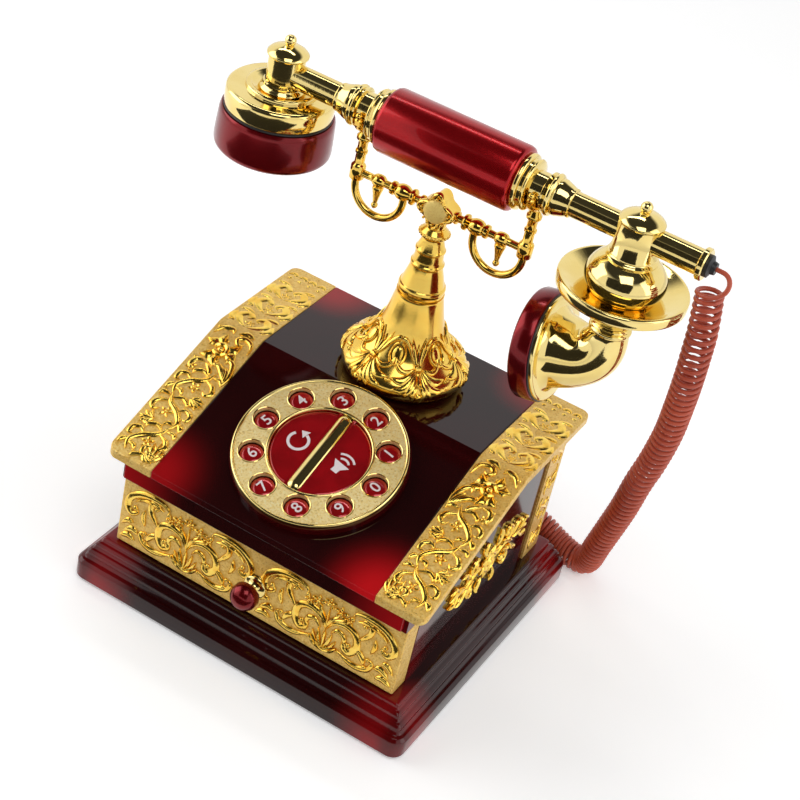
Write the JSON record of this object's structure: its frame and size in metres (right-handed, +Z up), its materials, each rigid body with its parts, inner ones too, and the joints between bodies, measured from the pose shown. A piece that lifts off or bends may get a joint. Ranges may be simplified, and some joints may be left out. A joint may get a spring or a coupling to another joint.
{
  "type": "telephone",
  "caption": "Novelty desk telephone like an antique set: drawer case on a stepped plinth, push-button dial, turned pillar with a fork cradle, long gilt handset, curly cord.",
  "frame": {"origin": "middle of the footprint, on the plane of the feet", "axes": "+Z up from the surface that it stands on, +X along the handset towards the mouthpiece, -Y out of the drawer's face"},
  "size_m": [0.2802, 0.2082, 0.2719],
  "materials": {
    "maroon_lacquer": "near-black maroon high-gloss lacquer over moulded plastic",
    "gilt_plastic": "gold-plated moulding, polished relief on a finely grained champagne ground",
    "polished_gold": "polished gold plate over cast metal",
    "red_gloss": "deep candy red, high gloss",
    "button_red": "red gloss with white figures",
    "black_plastic": "black moulded plastic",
    "foot_rubber": "black rubber",
    "cord_vinyl": "reddish-brown vinyl, semi-gloss",
    "plated_plastic": "moulded plastic with polished gold plating",
    "steel_weight": "plain pressed steel, inside only",
    "board_green": "glass-fibre board with its parts, inside only"
  },
  "bodies": {
    "telephone": {"plinth": "maroon_lacquer", "housing": "maroon_lacquer", "back_panel": "maroon_lacquer", "roof_shell": "maroon_lacquer", "dial_base": "maroon_lacquer", "roof_strip_left": "gilt_plastic", "roof_strip_right": "gilt_plastic", "corner_band_left": "gilt_plastic", "corner_band_right": "gilt_plastic", "side_ornament_left": "plated_plastic", "side_ornament_right": "plated_plastic", "dial_ring": "plated_plastic", "dial_bar": "plated_plastic", "pillar_foot": "plated_plastic", "pillar_column": "plated_plastic", "base_cover": "black_plastic", "loudspeaker": "black_plastic", "handset_socket": "black_plastic", "line_socket": "black_plastic", "cord_plug": "black_plastic", "feet": "foot_rubber", "ballast_plate": "steel_weight", "circuit_board": "board_green", "hook_switch": "board_green", "handset_cord": "cord_vinyl"},
    "drawer": {"drawer_front": "gilt_plastic", "drawer_tray": "black_plastic", "knob_base": "plated_plastic", "knob_tip": "red_gloss"},
    "cradle": {"cradle_head": "polished_gold", "cradle_bar": "polished_gold", "cradle_fork_left": "polished_gold", "cradle_fork_right": "polished_gold"},
    "handset": {"receiver_capsule": "steel_weight", "microphone_capsule": "steel_weight", "handset_tube": "plated_plastic", "handset_grip": "red_gloss", "collar_left": "plated_plastic", "collar_right": "plated_plastic", "ear_hub": "plated_plastic", "ear_cap": "plated_plastic", "ear_cup": "red_gloss", "mouth_hub": "plated_plastic", "mouth_saucer": "plated_plastic", "mouth_horn": "plated_plastic", "mouth_cup": "red_gloss", "cord_gland": "black_plastic"},
    "ringer_switch": {"ringer_slider": "black_plastic"},
    "key_0": {"digit_0": "button_red"},
    "key_1": {"digit_1": "button_red"},
    "key_2": {"digit_2": "button_red"},
    "key_3": {"digit_3": "button_red"},
    "key_4": {"digit_4": "button_red"},
    "key_5": {"digit_5": "button_red"},
    "key_6": {"digit_6": "button_red"},
    "key_7": {"digit_7": "button_red"},
    "key_8": {"digit_8": "button_red"},
    "key_9": {"digit_9": "button_red"},
    "redial_key": {"redial_button": "button_red"},
    "speaker_key": {"speaker_button": "button_red"}
  },
  "joints": [
    {"name": "drawer_slide", "type": "slide", "parent": "telephone", "child": "drawer", "axis": [0, -1, 0], "range_m": [0, 0.07]},
    {"name": "cradle_rise", "type": "slide", "parent": "telephone", "child": "cradle", "axis": [0, 0, 1], "range_m": [0, 0.003], "stiffness_N_per_m": 200, "springref_m": 0.015},
    {"name": "handset_lift", "type": "slide", "parent": "cradle", "child": "handset", "axis": [0, 0, 1], "range_m": [0, 0.12]},
    {"name": "ringer_slide", "type": "slide", "parent": "telephone", "child": "ringer_switch", "axis": [1, 0, 0], "range_m": [0, 0.007]},
    {"name": "key_0_press", "type": "slide", "parent": "telephone", "child": "key_0", "axis": [0, 0.3411, -0.94], "range_m": [0, 0.0012], "stiffness_N_per_m": 400, "springref_m": -0.0005},
    {"name": "key_1_press", "type": "slide", "parent": "telephone", "child": "key_1", "axis": [0, 0.3411, -0.94], "range_m": [0, 0.0012], "stiffness_N_per_m": 400, "springref_m": -0.0005},
    {"name": "key_2_press", "type": "slide", "parent": "telephone", "child": "key_2", "axis": [0, 0.3411, -0.94], "range_m": [0, 0.0012], "stiffness_N_per_m": 400, "springref_m": -0.0005},
    {"name": "key_3_press", "type": "slide", "parent": "telephone", "child": "key_3", "axis": [0, 0.3411, -0.94], "range_m": [0, 0.0012], "stiffness_N_per_m": 400, "springref_m": -0.0005},
    {"name": "key_4_press", "type": "slide", "parent": "telephone", "child": "key_4", "axis": [0, 0.3411, -0.94], "range_m": [0, 0.0012], "stiffness_N_per_m": 400, "springref_m": -0.0005},
    {"name": "key_5_press", "type": "slide", "parent": "telephone", "child": "key_5", "axis": [0, 0.3411, -0.94], "range_m": [0, 0.0012], "stiffness_N_per_m": 400, "springref_m": -0.0005},
    {"name": "key_6_press", "type": "slide", "parent": "telephone", "child": "key_6", "axis": [0, 0.3411, -0.94], "range_m": [0, 0.0012], "stiffness_N_per_m": 400, "springref_m": -0.0005},
    {"name": "key_7_press", "type": "slide", "parent": "telephone", "child": "key_7", "axis": [0, 0.3411, -0.94], "range_m": [0, 0.0012], "stiffness_N_per_m": 400, "springref_m": -0.0005},
    {"name": "key_8_press", "type": "slide", "parent": "telephone", "child": "key_8", "axis": [0, 0.3411, -0.94], "range_m": [0, 0.0012], "stiffness_N_per_m": 400, "springref_m": -0.0005},
    {"name": "key_9_press", "type": "slide", "parent": "telephone", "child": "key_9", "axis": [0, 0.3411, -0.94], "range_m": [0, 0.0012], "stiffness_N_per_m": 400, "springref_m": -0.0005},
    {"name": "redial_key_press", "type": "slide", "parent": "telephone", "child": "redial_key", "axis": [0, 0.3411, -0.94], "range_m": [0, 0.0012], "stiffness_N_per_m": 400, "springref_m": -0.0005},
    {"name": "speaker_key_press", "type": "slide", "parent": "telephone", "child": "speaker_key", "axis": [0, 0.3411, -0.94], "range_m": [0, 0.0012], "stiffness_N_per_m": 400, "springref_m": -0.0005}
  ]
}
